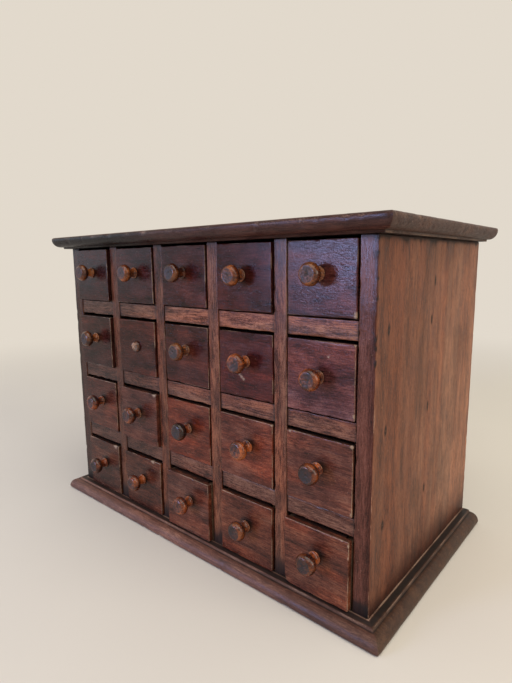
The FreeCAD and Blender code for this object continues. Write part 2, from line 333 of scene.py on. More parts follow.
FRONT_WOOD = wood(
    "front_wood",
    dark=(0.018, 0.006, 0.004), middle=(0.092, 0.025, 0.016), light=(0.205, 0.072, 0.040),
    bare=(0.46, 0.32, 0.22),
    bands=0.3, threads=0.55, clouds=0.5, hue=0.5, pores=0.6, gloss=1.2, shine=0.20,
)
RAIL_WOOD = wood(
    "rail_wood",
    dark=(0.024, 0.008, 0.006), middle=(0.120, 0.038, 0.022), light=(0.280, 0.115, 0.062),
    bare=(0.50, 0.31, 0.20),
    bands=0.4, threads=0.85, clouds=0.45, hue=0.6, pores=0.5, gloss=0.95, shine=0.25,
)
SIDE_WOOD = wood(
    "side_wood",
    dark=(0.060, 0.022, 0.013), middle=(0.195, 0.080, 0.045), light=(0.330, 0.160, 0.095),
    bare=(0.52, 0.30, 0.19),
    bands=0.4, threads=0.8, clouds=0.25, hue=0.1, pores=0.5, gloss=0.20, shine=0.22,
)
BOARD_WOOD = wood(
    "board_wood",
    dark=(0.016, 0.007, 0.006), middle=(0.046, 0.015, 0.010), light=(0.125, 0.046, 0.028),
    bare=(0.42, 0.27, 0.19),
    bands=0.2, threads=0.42, clouds=0.25, hue=0.3, pores=0.4, gloss=0.8, shine=0.22,
)
INNER_WOOD = wood(
    "inner_wood",
    dark=(0.060, 0.030, 0.018), middle=(0.170, 0.090, 0.050), light=(0.300, 0.180, 0.105),
    bare=(0.40, 0.26, 0.16),
    bands=0.4, threads=0.45, clouds=0.2, hue=0.4, pores=0.6, gloss=0.0, shine=0.2,
)
KNOB_WOOD = wood(
    "knob_wood",
    dark=(0.022, 0.006, 0.004), middle=(0.118, 0.028, 0.009), light=(0.380, 0.110, 0.026),
    bare=(0.56, 0.33, 0.19),
    bands=0.6, threads=0.6, clouds=0.8, hue=0.6, pores=0.3, gloss=1.5, shine=0.42,
)
IRON = rusty_iron()


# ---- meshes ----


def stations(low, high, step, arris, marks=()):
    """Grid lines from low to high: close together at both ends and exactly on each mark."""
    ends = arris * np.array([0, 0.3, 0.65, 1.0, 1.7, 2.8])
    ends = ends[ends * 2.2 < high - low]
    start, stop = low + ends[-1], high - ends[-1]
    count = max(1, round((stop - start) / step))
    lines = np.concatenate([low + ends, np.linspace(start, stop, count + 1), high - ends])
    marks = [mark for mark in marks if low < mark < high]
    for mark in marks:
        lines = lines[np.abs(lines - mark) > min(0.25 * step, 0.2 * arris)]
    return np.unique(np.round(np.concatenate([lines, marks, [low, high]]), 7))


def grid_solid(axes, cuts=()):
    """Vertices and outward quads of a block on grid lines, less the boxes in cuts."""
    middles = [(a[1:] + a[:-1]) / 2 for a in axes]
    filled = np.ones([len(m) for m in middles], bool)
    for low, high in cuts:
        x, y, z = [(m > low[i]) & (m < high[i]) for i, m in enumerate(middles)]
        filled &= ~(x[:, None, None] & y[None, :, None] & z[None, None, :])
    counts = [len(a) for a in axes]
    number = np.arange(np.prod(counts)).reshape(counts)
    padded = np.pad(filled, 1)
    quads = []
    for axis in range(3):
        turn = (axis, (axis + 1) % 3, (axis + 2) % 3)
        cells = padded.transpose(turn)[:, 1:-1, 1:-1]
        corner = number.transpose(turn)
        ring = (corner[:, :-1, :-1], corner[:, 1:, :-1], corner[:, 1:, 1:], corner[:, :-1, 1:])
        outward = cells[:-1] & ~cells[1:]
        inward = ~cells[:-1] & cells[1:]
        quads.append(np.stack([r[outward] for r in ring], 1))
        quads.append(np.stack([r[inward] for r in ring[::-1]], 1))
    used, quads = np.unique(np.concatenate(quads), return_inverse=True)
    points = np.stack(np.meshgrid(*axes, indexing="ij"), -1).reshape(-1, 3)[used]
    return points, quads.reshape(-1, 4)


def new_object(name, data):
    obj = bpy.data.objects.new(name, data)
    scene.collection.objects.link(obj)
    return obj


def mesh_object(name, points, faces, material, values):
    """An object from arrays, with per-vertex values (numbers or vectors) for its material."""
    mesh = bpy.data.meshes.new(name)
    mesh.from_pydata(points.tolist(), [], [list(map(int, face)) for face in faces])
    mesh.update()
    for key, data in values.items():
        kind, field_name = ("FLOAT", "value") if data.ndim == 1 else ("FLOAT_VECTOR", "vector")
        attribute = mesh.attributes.new(key, kind, "POINT")
        attribute.data.foreach_set(field_name, data.astype(np.float32).ravel())
    mesh.materials.append(material)
    mesh.shade_smooth()
    return new_object(name, mesh)


GRAIN_ORDER = {"x": (0, 1, 2), "y": (1, 0, 2), "z": (2, 0, 1)}


def grain_space(points, along, seed):
    """Each point in its own board's wood: along the grain, across it, and into the log."""
    random = np.random.default_rng(seed)
    middle = points.mean(0)[list(GRAIN_ORDER[along])]
    place = np.array([random.uniform(-2, 2), random.uniform(-0.03, 0.03), random.uniform(0.02, 0.07)])
    return points[:, GRAIN_ORDER[along]] - middle + place


def tint(points, seed, spread, warmth=0.0):
    """A board's own shade of the stain, as a multiplier of its colour."""
    random = np.random.default_rng(seed + 77)
    shade = 1 + spread * random.uniform(-1, 1)
    warm = warmth + 0.10 * random.uniform(-1, 1)
    return np.tile(shade * np.array([1 + warm, 1.0, 1 - warm]), (len(points), 1))


def edge_wear(points, box, seed, arris):
    """How far the stain is rubbed off, from 0 to 1: most at the arrises, in patches."""
    low, high = box
    reach = np.sort(np.minimum(points - low, high - points), axis=1)[:, 1]
    patch = rise(field(points, 17 * MM, seed + 2), 0.35, 0.85)
    fine = field(points, 2.5 * MM, seed + 3)
    return bell(reach, 0.75 * arris) * (0.15 + 0.85 * patch) * (0.4 + 0.6 * fine)


def worn_arris(points, box, arris, seed, chips):
    """Rounds a box's arrises by a radius that wanders, with chips as (place, size, depth)."""
    low, high = box
    radius = arris * (0.5 + 0.8 * field(points, 11 * MM, seed))
    radius = radius + 1.4 * arris * rise(field(points, 6 * MM, seed + 1), 0.66, 0.92)
    for place, size, depth in chips:
        radius = radius + depth * spot(points, place, size)
    radius = np.minimum(radius, 0.45 * np.min(high - low))[:, None]
    core = np.clip(points, low + radius, high - radius)
    offset = points - core
    length = np.linalg.norm(offset, axis=1, keepdims=True)
    return core + offset * np.minimum(1, radius / np.maximum(length, 1e-9))


def sink(obj, depth, seed, size=45 * MM):
    """Sinks a surface unevenly along its normals, as hand planing and drying leave it."""
    mesh = obj.data
    points = np.zeros(len(mesh.vertices) * 3, np.float32)
    mesh.vertices.foreach_get("co", points)
    points = points.reshape(-1, 3).astype(float)
    normals = np.zeros(len(mesh.vertices) * 3, np.float32)
    mesh.vertex_normals.foreach_get("vector", normals)
    share = 0.65 * field(points, size, seed) + 0.35 * field(points, size / 5, seed + 1)
    points -= normals.reshape(-1, 3) * (depth * share)[:, None]
    mesh.vertices.foreach_set("co", points.ravel())
    mesh.update()


def board(
    name, box, material, along, seed, step, arris, hollow=WIDE_HOLLOW,
    cuts=(), chips=(), shade_and_dirt=(), spread=0.18, stain=None,
):
    """A worn board that fills a box, less its cuts, with its grain along one axis.

    chips are knocked-off spots of its arrises, and the boxes it darkens against give painted shade in its
    corners, with some soiling.
    """
    low, high = np.array(box[0], float), np.array(box[1], float)
    axes = []
    for axis in range(3):
        marks = [cut[end][axis] for cut in cuts for end in (0, 1)]
        axes.append(stations(low[axis], high[axis], step[axis], arris, marks))
    points, faces = grid_solid(axes, cuts)
    wear = edge_wear(points, (low, high), seed, arris)
    for place, size, _ in chips:
        wear = np.maximum(wear, 0.95 * spot(points, place, size))
    grime = np.zeros(len(points))
    # painted shade near the other parts, in corners and joints, mixed with soiling
    for other, size, amount in shade_and_dirt:
        patch = 0.45 + 0.9 * field(points, 9 * MM, seed + 4)
        grime = np.maximum(grime, amount * patch * np.exp(-box_distance(points, other) / size))
    values = {
        "grain": grain_space(points, along, seed),
        "tint": tint(points, seed, spread),
        "wear": wear * (1 - 0.7 * np.clip(grime, 0, 1)),
        "grime": grime,
        "polish": np.zeros(len(points)),
    }
    if stain:
        stain(points, values)
    points = worn_arris(points, (low, high), arris, seed, chips)
    obj = mesh_object(name, points, faces, material, values)
    sink(obj, hollow, seed + 5)
    return obj


def dress(obj, body, slot, *nodes):
    """Lets a piece ride on its body and stand for its CAD nodes, which it hides."""
    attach(obj, body)
    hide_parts(*nodes)


# ---- carcass ----


def left_painted_shade(points, much):
    """Painted shade: the front is darker towards the left, as if less light fell there."""
    return 1 - much * rise(-points[:, [0]], -20 * MM, 100 * MM)


def gap_shade_behind_front(points):
    """Painted shade, with some soiling, in the gaps just behind the front edges, fading into the cabinet."""
    back = points[:, 1] - FRONT_Y
    return 1.3 * rise(back, 0.8 * MM, 2.2 * MM) * np.exp(-np.maximum(0, back - 4 * MM) / (28 * MM))


# places on the outer face of a side, as (y, z)
NAIL_PLACES = [(y, z) for y in (-84 * MM, -1 * MM) for z in (82.6 * MM, 159.1 * MM, 235.4 * MM)]
KNOT_PLACE = (3.6 * MM, 268.3 * MM)
SHAKE_ENDS = ((-11 * MM, 302 * MM), (-33 * MM, 222 * MM))  # a long thin crack along the grain


def old_marks(y, z):
    """The dark slots at the nails and knot of a side's outer face, and the paler wood round them."""
    slots, rubbed = np.zeros(len(y)), np.zeros(len(y))
    for place_y, place_z in [*NAIL_PLACES, KNOT_PLACE]:
        across, along = (y - place_y) / MM, (z - place_z) / MM
        slot = np.exp(-((across / 1.7) ** 2) - (along / 4.2) ** 2)
        halo = np.exp(-((across / 4) ** 2) - (along / 10) ** 2)
        slots = np.maximum(slots, slot)
        rubbed = np.maximum(rubbed, halo - slot)
    return slots, rubbed


def outer_tint(points, low, high, rubbed, seed):
    """The colour of a side's outer face: redder in front, paler and greyer behind, a painted sheen, and
    darker at the foot, painted shade mixed with polish residue.
    """
    _, y, z = points.T
    back = rise(y, low[1], high[1])
    low_down = 1 - (z - low[2]) / (high[2] - low[2])
    columns = points * (0, 1, 0.03)
    strip = rise(field(columns, 13 * MM, seed), 0.25, 0.75)
    narrow = field(columns, 5 * MM, seed + 1) - 0.5
    orange, grey = np.array([1.14, 0.85, 0.70]), np.array([0.91, 0.93, 0.94])
    # greyer towards the back and low down, a painted sheen, mixed with the stain's own grey strips
    cast = orange + (grey - orange) * np.clip(0.4 * strip + 0.65 * back, 0, 1)[:, None]
    cast = cast + (back * low_down)[:, None] * (0.0, 0.12, 0.16)
    # the dark band at the foot: painted shade where the side meets the base, with dark polish residue
    tall = 7 + 18 * rise(y, low[1], 20 * MM) + 8 * field(points, 14 * MM, seed + 2)
    foot_shade_and_residue = bell((z - low[2]) / MM, tall)[:, None]
    cast = cast * (1 - foot_shade_and_residue * (0.78, 0.86, 0.88))
    blotch = rise(field(points, (30 * MM, 22 * MM, 42 * MM), seed + 5), 0.5, 0.85)
    # paler towards the back and low down, a painted sheen; the narrow strips and blotches are the stain's
    # own
    shade = (0.55 + 0.48 * back + 0.36 * back * low_down) * (1 + 0.20 * narrow) * (1 - 0.28 * blotch)
    (y0, z0), (y1, z1) = SHAKE_ENDS
    share = np.clip((z - z0) / (z1 - z0), 0, 1)
    shake = bell(y - y0 - (y1 - y0) * share, 0.9 * MM) * (z > z1) * (z < z0)
    shade = shade * (1 + 0.10 * rubbed) * (1 - 0.35 * shake)
    return cast * shade[:, None]


def side_stain_and_shade(low, high, seed, points, values):
    """The stain, soiling and painted light and shade of a side: its outer face, its front edge, painted
    darker towards the left, and what faces the drawers, painted darker just behind the front.
    """
    outer_x = max(low[0], high[0], key=abs)
    x, y, z = points.T
    tints, grime = values["tint"], values["grime"]
    depth = np.abs(x - outer_x)
    outer = depth < 0.35 * (high[0] - low[0])
    inside = depth > 0.6 * (high[0] - low[0])
    edge = (y < low[1] + 0.6 * MM) & (depth >= 0.3 * MM)
    marks, rubbed = old_marks(y, z)
    tints[outer] = outer_tint(points, low, high, rubbed, seed)[outer]
    corner = (y < low[1] + 1.2 * MM) * rise(z, 170 * MM, 215 * MM)
    marks += 0.6 * corner * rise(field(points, 3.5 * MM, seed + 4), 0.55, 0.75)
    grime[outer] += (1.6 * marks)[outer]
    # the front edge is stained darker, with painted shade towards the left
    tints[edge] *= left_painted_shade(points[edge], 0.6) * (0.48, 0.36, 0.40)
    values["polish"][edge] = 1.0
    grime[edge] += 1.9 * bell((z[edge] - low[2]) / MM, 10)
    drips = rise(field(points, (4 * MM, 4 * MM, 40 * MM), seed + 3), 0.5, 0.9)
    grime += outer * drips * np.exp(-(high[2] - z) / (7 * MM))
    grime[inside] += gap_shade_behind_front(points)[inside]


def make_sides():
    for number, (side, (low, high)) in enumerate(SIDES.items()):
        rebate = (np.maximum(low, (*PANEL[0][:2], low[2])), np.minimum(high, (PANEL[1][0], *high[1:])))
        obj = board(
            side + "_board", (low, high), SIDE_WOOD, "z", SEEDS["side"] + number,
            step=(3 * MM, 1.6 * MM, 2 * MM),
            arris=SIDE_ARRIS,
            cuts=[rebate],
            shade_and_dirt=[(BASE, 1.5 * MM, 0.5), (TOP, 2.5 * MM, 1.6)],
            spread=0.0,
            stain=partial(side_stain_and_shade, low, high, SEEDS["side_stain_and_shade"] + number),
        )
        dress(obj, "cabinet", "carcass_wood", side)


def divider_stain_and_shade(points, values):
    values["grime"] += gap_shade_behind_front(points)
    # painted shade: darker towards the left; also darker near the top
    shade = 0.6 + 0.6 * rise(points[:, [0]].mean(), -150 * MM, 130 * MM)
    higher = 1 - 0.2 * rise(points[:, [2]], 200 * MM, 290 * MM)
    values["tint"] *= shade * higher * (0.96, 0.82, 0.68)


def shelf_stain_and_light(points, values):
    values["grime"] += gap_shade_behind_front(points)
    # the top shelf is painted paler and bluer, partly a painted sheen, and painted shade darkens the left
    paler_with_sheen = np.array([1.35, 1.47, 1.38]) if points[0, 2] > 200 * MM else 1.0
    values["tint"] *= paler_with_sheen * left_painted_shade(points, 0.5) * (1.06, 0.96, 0.90)


def make_lapped_board(node, box, along, seed, slots, **looks):
    """A divider or shelf, slotted to half of its depth where the others cross it."""
    obj = board(
        node + "_board", box, RAIL_WOOD, along, seed,
        arris=RAIL_ARRIS, hollow=RAIL_HOLLOW, cuts=slots, **looks,
    )
    dress(obj, "cabinet", "carcass_wood", node)


def make_dividers():
    shade_and_dirt = [(BASE, 10 * MM, 2.6), (TOP, 4 * MM, 1.0)]
    shade_and_dirt += [(box, 2.0 * MM, 0.6) for box in SHELVES.values()]
    looks = {"step": (2 * MM, 6 * MM, 2.5 * MM), "shade_and_dirt": shade_and_dirt, "spread": 0.05, "stain": divider_stain_and_shade}
    for number, (node, (low, high)) in enumerate(DIVIDERS.items()):
        slots = [((low[0], Y_LAP, start[2]), (*high[:2], end[2])) for start, end in SHELVES.values()]
        make_lapped_board(node, (low, high), "z", SEEDS["divider"] + number, slots, **looks)


def make_shelves():
    shade_and_dirt = [(box, 2.0 * MM, 0.8) for box in [*DIVIDERS.values(), *SIDES.values()]]
    looks = {"step": (2.5 * MM, 6 * MM, 2.5 * MM), "shade_and_dirt": shade_and_dirt, "spread": 0.1, "stain": shelf_stain_and_light}
    for number, (node, (low, high)) in enumerate(SHELVES.items()):
        slots = [((start[0], *low[1:]), (end[0], Y_LAP, high[2])) for start, end in DIVIDERS.values()]
        make_lapped_board(node, (low, high), "x", SEEDS["shelf"] + number, slots, **looks)


def make_back_panel():
    obj = board(
        "back_panel_board", PANEL, INNER_WOOD, "z", SEEDS["back_panel"],
        step=(4 * MM, 2 * MM, 4 * MM),
        arris=THIN_ARRIS,
        shade_and_dirt=[(BASE, 10 * MM, 0.7), (TOP, 8 * MM, 0.6)],
    )
    dress(obj, "cabinet", "back_panel_wood", "back_panel")


# ---- moulded boards ----


def moulding_height(reach, thickness):
    """Height of the moulded face above the board's inner face, by reach from the carcass."""
    start = FILLET_REACH + QUIRK_WIDTH
    tall = thickness - BOARD_ARRIS - FILLET_HEIGHT
    across = np.clip((reach - start) / (OVERHANG - start), 0, 1)
    ovolo = FILLET_HEIGHT + tall * (1 - np.sqrt(1 - across**2))
    step = FILLET_HEIGHT * np.clip((reach - FILLET_REACH) / FILLET_BATTER, 0, 1)
    return np.where(reach > start, ovolo, step)


def outer_height(reach, thickness):
    """Height of the board's outer face, which the worn arris rounds off."""
    across = np.clip((reach - OVERHANG + BOARD_ARRIS) / BOARD_ARRIS, 0, 1)
    return thickness - BOARD_ARRIS * (1 - np.sqrt(1 - across**2))


def moulding_lines():
    """Reaches that both faces of the moulding need grid lines at."""
    quarter = np.sin(np.linspace(0, math.pi / 2, 10))
    start = FILLET_REACH + QUIRK_WIDTH
    ovolo = start + (OVERHANG - start) * quarter
    arris = OVERHANG - BOARD_ARRIS * (1 - quarter[1:-1:2])
    fillet = np.array([0, 0.04, 0.12, 0.3, 0.55, 0.8, 0.94, 1.0]) * FILLET_REACH
    lines = np.concatenate([fillet, [FILLET_REACH + FILLET_BATTER, start - 0.6 * MM], ovolo, arris])
    lines = np.unique(np.round(lines, 6))
    return lines[np.insert(np.diff(lines) > 0.04 * MM, 0, True)]


def split_at_mitre(ring, flip, depth):
    """Faces of one grid layer. Squares on the mitre become two triangles that meet on it."""
    last = len(ring[0]) - 1
    faces = []
    for i, j in np.ndindex(ring[0].shape):
        a, b, c, d = (corner[i, j] for corner in ring)
        parts = [[a, b, c, d]]
        if i == j < depth - 1:
            parts = [[a, b, c], [a, c, d]]
        elif last - i == j < depth - 1:
            parts = [[a, b, d], [b, c, d]]
        faces += [part[::-1] for part in parts] if flip else parts
    return faces


def reach_past_carcass(x, y):
    return np.clip(np.maximum(np.abs(x) - HALF_WIDTH, FRONT_Y - y), 0, OVERHANG)


def moulded_shell(box, up):
    """Faces of a moulded board, and its points with their height above its inner face as z."""
    thickness = box[1][2] - box[0][2]
    reaches = moulding_lines()
    half = HALF_WIDTH
    xs = np.concatenate([-half - reaches[::-1], np.linspace(-half, half, 200)[1:-1], half + reaches])
    ys = np.concatenate([FRONT_Y - reaches[::-1], np.linspace(FRONT_Y, box[1][1], 112)[1:]])
    grid_x, grid_y = np.meshgrid(xs, ys, indexing="ij")
    reach = reach_past_carcass(grid_x, grid_y)
    inner = moulding_height(reach, thickness)
    outer = outer_height(reach, thickness)
    rim = reach >= OVERHANG - 1e-7  # both faces meet here
    outer[rim] = inner[rim]

    inner_ids = np.arange(grid_x.size).reshape(grid_x.shape)
    outer_ids = np.where(rim, inner_ids, inner_ids + grid_x.size)
    faces = []
    for layer, flip in ((inner_ids, up > 0), (outer_ids, up < 0)):
        ring = (layer[:-1, :-1], layer[1:, :-1], layer[1:, 1:], layer[:-1, 1:])
        faces += split_at_mitre(ring, flip, len(reaches))

    # the back edge closes the gap between the two faces
    columns = [inner_ids[:, -1]]
    extra = []
    start = 2 * grid_x.size
    for level in (0.06, 0.25, 0.5, 0.75, 0.94):
        columns.append(np.where(rim[:, -1], columns[0], start + np.arange(len(xs))))
        height = inner[:, -1] + (outer[:, -1] - inner[:, -1]) * level
        extra.append(np.stack([xs, np.full(len(xs), box[1][1]), height], 1))
        start += len(xs)
    columns.append(outer_ids[:, -1])
    for lower, upper in zip(columns[:-1], columns[1:]):
        for i in range(len(xs) - 1):
            face = [lower[i + 1], lower[i], upper[i], upper[i + 1]]
            faces.append(list(dict.fromkeys(face if up > 0 else face[::-1])))  # corners may coincide
    faces = [face for face in faces if len(face) > 2]

    sheets = [np.stack([grid_x.ravel(), grid_y.ravel(), h.ravel()], 1) for h in (inner, outer)]
    used, flat = np.unique(np.concatenate(faces), return_inverse=True)
    faces = np.split(flat, np.cumsum([len(face) for face in faces])[:-1])
    return faces, np.concatenate(sheets + extra)[used]


def moulding_values(points, height, out, knock, thickness, up, seed):
    """The stain, rubbing and soiling of a moulded board, by height and reach before it was worn, with
    painted shade on the ledge and in the quirk, on the top's moulding towards the left and on the base's
    ends.
    """
    past_side = np.abs(points[:, 0]) - HALF_WIDTH
    inner_side = height < 0.45 * thickness
    moulded = 1 - rise(height, 0.84 * thickness, 0.99 * thickness)
    at_end = moulded * rise(past_side - np.maximum(0, FRONT_Y - points[:, 1]), 0, MM)
    patch = rise(field(points, 13 * MM, seed + 2), 0.2, 0.75)
    arris = bell(out - OVERHANG, 1.2 * MM) * rise(height, 0.5 * thickness, 0.8 * thickness)
    lip = bell(out - FILLET_REACH, 0.3 * MM) * inner_side
    foot = bell(out - 0.3 * MM, 0.5 * MM) * inner_side * (up < 0)
    wear = 0.36 * arris * (0.4 + 0.6 * patch) + 0.2 * knock
    wear += 1.1 * foot * (0.6 + 0.4 * patch)
    wear += 0.6 * lip * (0.3 + 0.7 * patch) * (1.0 if up < 0 else at_end)
    # the ledge next to the carcass and the quirk carry painted shade mixed with soiling
    ledge = rise(out, 0.6 * MM, 1.4 * MM) * rise(-out, -6.4 * MM, -5 * MM) * inner_side
    ledge += (out <= 0) * inner_side * (past_side < 0)
    quirk = bell(out - FILLET_REACH - 0.6 * QUIRK_WIDTH, 0.9 * MM) * inner_side
    # the top's ends are its greyer end grain; the base's ends are painted darker as shade
    grey = np.array([1.45, 2.05, 2.25]) if up > 0 else np.array([0.68, 0.72, 0.62])
    shades = tint(points, seed, 0.0) * (1 + at_end[:, None] * (grey - 1))
    # the top's moulding gets painted shade towards the left; the base is darker towards the right
    right = rise(points[:, [0]], 40 * MM, 200 * MM)
    darker = 1 - moulded[:, None] * (1 - left_painted_shade(points, 0.9))
    shades *= darker if up > 0 else np.array([2.50, 3.55, 4.00]) * (1 - 0.45 * right)
    return {
        "grain": grain_space(points, "x", seed),
        "tint": shades,
        "wear": wear,
        "grime": (1.2 * ledge + 1.0 * quirk) * (0.6 + 0.6 * field(points, 8 * MM, seed + 3)),
        "polish": -0.5 * at_end if up > 0 else np.full(len(points), -0.35),
        "pebbled": 0.6 * at_end * (up > 0),
    }


def moulded_board(name, box, up, seed):
    """A board with a moulded front and ends. up is 1 for the top board and -1 for the base."""
    thickness = box[1][2] - box[0][2]
    faces, points = moulded_shell(box, up)
    x, y, height = points.T.copy()
    out = reach_past_carcass(x, y)
    points[:, 2] = (box[0][2] if up > 0 else box[1][2]) + up * height

    # knocks and rubbing draw the outer arris in, and the fillet's edge less
    knock = rise(field(points, 5 * MM, seed), 0.68, 0.95) * rise(out, 9 * MM, OVERHANG)
    draw = 0.7 * MM * knock + 0.3 * MM * field(points, 19 * MM, seed + 1) * rise(out, 5 * MM, OVERHANG)
    corner = np.minimum(np.abs(x) - HALF_WIDTH, FRONT_Y - y)
    draw += 0.7 * MM * rise(corner, 0.7 * OVERHANG, OVERHANG)
    toward = np.stack([np.clip(x, -HALF_WIDTH, HALF_WIDTH) - x, np.maximum(y, FRONT_Y) - y], 1)
    length = np.linalg.norm(toward, axis=1, keepdims=True)
    points[:, :2] += toward / np.maximum(length, 1e-9) * draw[:, None]
    values = moulding_values(points, height, out, knock, thickness, up, seed)
    return mesh_object(name, points, faces, BOARD_WOOD, values)


def make_moulded_boards():
    for node, box, up in (("top_board", TOP, 1), ("base_board", BASE, -1)):
        obj = moulded_board(node + "_moulded", box, up, SEEDS[node])
        dress(obj, "cabinet", "board_wood", node)


# ---- drawers ----

# Knocked or rubbed-through spots of a drawer's front face: across and up from its centre as
# shares of its half width and half height, then size and depth. A pale smear has no depth.
MARKS = {
    "r1c5": [(1.0, -0.9, 3 * MM, 0.5 * MM)],
    "r2c4": [(-0.22, -0.30, 1.7 * MM, 0), (-0.14, -0.37, 1.8 * MM, 0), (-0.06, -0.44, 1.6 * MM, 0)],
    "r2c5": [
        (1.0, 1.0, 2.2 * MM, 1.4 * MM),
        (1.0, -0.85, 2 * MM, 0.6 * MM),
        (0.25, 0.6, 1.2 * MM, 0.2 * MM),
    ],
    "r3c2": [(0.9, 1.0, 3.5 * MM, 0.6 * MM)],
    "r3c4": [(1.0, 1.0, 2.5 * MM, 1.0 * MM)],
    "r3c5": [
        (0.97, 0.97, 2.4 * MM, 1.4 * MM),
        (1.0, -0.9, 2 * MM, 0.6 * MM),
        (-0.9, 0.97, 1.4 * MM, 0.6 * MM),
    ],
    "r4c1": [(0.8, 1.0, 4 * MM, 0.6 * MM)],
    "r4c2": [(0.6, 1.0, 3.5 * MM, 0.6 * MM)],
    "r4c5": [
        (1.0, 0.9, 1.8 * MM, 0.9 * MM),
        (1.0, 0.55, 1.4 * MM, 0.6 * MM),
        (0.8, 1.0, 1.3 * MM, 0.6 * MM),
        (-1.0, -1.0, 4 * MM, 3.0 * MM),
    ],
}

# Multipliers of the stain's colour. The upper two rows are darker and bluer, a painted shade and a painted
# bluish sheen.
ROW_STAIN_AND_SHEEN = {1: (0.52, 0.42, 0.60), 2: (0.62, 0.53, 0.66), 3: (1.04, 1.04, 1.04), 4: (0.98, 1.14, 1.14)}
COMMON_SHADE = (1.06, 1.0, 1.0)
# some fronts' own multipliers, partly a painted sheen: r1c5 and r2c5 paler and bluer, r1c4 and r2c4 darker
OWN_STAIN_AND_SHEEN = {
    "r1c4": (0.85, 0.65, 0.60),
    "r1c5": (1.10, 1.55, 1.90),
    "r2c4": (0.78, 0.62, 0.75),
    "r2c5": (1.45, 2.00, 2.60),
    "r3c3": (1.10, 0.80, 0.65),
    "r3c4": (1.12, 1.06, 1.04),
    "r3c5": (0.80, 0.98, 1.12),
}
PEBBLED_ROWS = {1: 0.6, 2: 0.4}  # how far the old varnish has crept into small pebbles
SHINIEST = "r1c4"


def front_box(name):
    low, high = node_box("drawer_" + name)
    low[2] += FRONT_LIFT
    high[1] = low[1] + FRONT_THICKNESS
    return low, high


def knob_axis(name):
    """Where a knob's axis leaves the face of its drawer, with its radius and length."""
    low, high = node_box("knob_" + name)
    face = node_box("drawer_" + name)[0][1]
    centre = (low + high) / 2
    return np.array([centre[0], face, centre[2]]), (high[0] - low[0]) / 2, face - low[1]


def front_stain_and_light(name, low, high, points, values):
    """A front's own shade of the stain with a painted sheen on some and painted shade towards the left, its
    rubbed edges, partly a painted highlight, and painted shade with soiling in the gap round it.
    """
    row, column = int(name[1]), int(name[3])
    x, y, z = points.T
    own = np.array(ROW_STAIN_AND_SHEEN[row]) * OWN_STAIN_AND_SHEEN.get(name, COMMON_SHADE)
    glow = rise(field(points, (34 * MM, 20 * MM, 10 * MM), row + 9), 0.45, 0.85)
    # the row's and own multipliers carry a painted sheen and shade; painted shade darkens the left
    values["tint"] *= own * left_painted_shade(points, 0.4)
    values["tint"] *= 1 + glow[:, None] * (0.50, 0.25, 0.05)
    values["pebbled"] = np.full(len(points), PEBBLED_ROWS.get(row, 0.0))
    values["polish"] += 0.6 if name == SHINIEST else 0.35 * (row in PEBBLED_ROWS)
    # the pale line along the top and right edges is wear and partly a painted highlight
    narrow = 1.4 if row == 1 else 0.9
    from_edge = np.minimum(high[0] - x, narrow * (high[2] - z))
    patch = rise(field(points, 13 * MM, SEED_STEP * row + column), 0.35, 0.60)
    broken = 0.6 + 0.6 * field(points, 1.5 * MM, 5)
    line = bell(from_edge, 0.5 * MM) * (y < low[1] + MM) * broken
    values["wear"] = np.maximum(values["wear"], line * (0.15 + 0.50 * patch))
    on_top = (z > high[2] - 0.2 * MM) & (y > low[1] + 0.5 * MM)
    values["grime"][on_top] += (0.9 * field(points, 3 * MM, 6))[on_top]
    # painted shade on the front's sides and rebates, which sit in the gap behind its face
    hidden = max(low[1] + 1.4 * MM, FRONT_Y - 0.3 * MM)
    values["grime"] += 1.2 * rise(y - hidden, 0, 1.8 * MM)
    # on the lower rows a painted shadow of the knob, up and to the right of it, mixed with soiling from
    # hands
    if row not in PEBBLED_ROWS:
        knob_shadow_smudge = knob_axis(name)[0] + (4.5 * MM, 0, 4.5 * MM)
        values["grime"] += 0.65 * spot(points, knob_shadow_smudge, 7.5 * MM)


def make_front(name, seed):
    """A drawer's front, rebated at both ends and grooved for the bottom board."""
    low, high = front_box(name)
    groove_z = low[2] - FRONT_LIFT + BOTTOM_RISE
    below, behind, above = low[2] - MM, high[1] + MM, high[2] + MM
    cuts = [
        ((low[0] - MM, low[1] + FRONT_LIP, below), (low[0] + DRAWER_SIDE, behind, above)),
        ((high[0] - DRAWER_SIDE, low[1] + FRONT_LIP, below), (high[0] + MM, behind, above)),
        (
            (low[0] + DRAWER_SIDE - GROOVE_DEPTH, high[1] - GROOVE_DEPTH, groove_z),
            (high[0] - DRAWER_SIDE + GROOVE_DEPTH, behind, groove_z + BOTTOM_THICKNESS),
        ),
    ]
    centre, half = (low + high) / 2, (high - low) / 2
    chips = []
    for across, up, size, depth in MARKS.get(name, ()):
        chips.append(((centre[0] + across * half[0], low[1], centre[2] + up * half[2]), size, depth))
    foot, collar = knob_axis(name)[0], np.array([0.6 * COLLAR_RADIUS, MM, 0.6 * COLLAR_RADIUS])
    obj = board(
        "front_" + name, (low, high), FRONT_WOOD, "x", seed,
        step=(1.15 * MM, 2 * MM, 1.15 * MM),
        arris=FRONT_ARRIS,
        cuts=cuts,
        chips=chips,
        shade_and_dirt=[((foot - collar, foot + collar), 2.5 * MM, 0.75)],
        stain=partial(front_stain_and_light, name, low, high),
    )
    dress(obj, "drawer_" + name, "drawer_wood", "drawer_" + name)


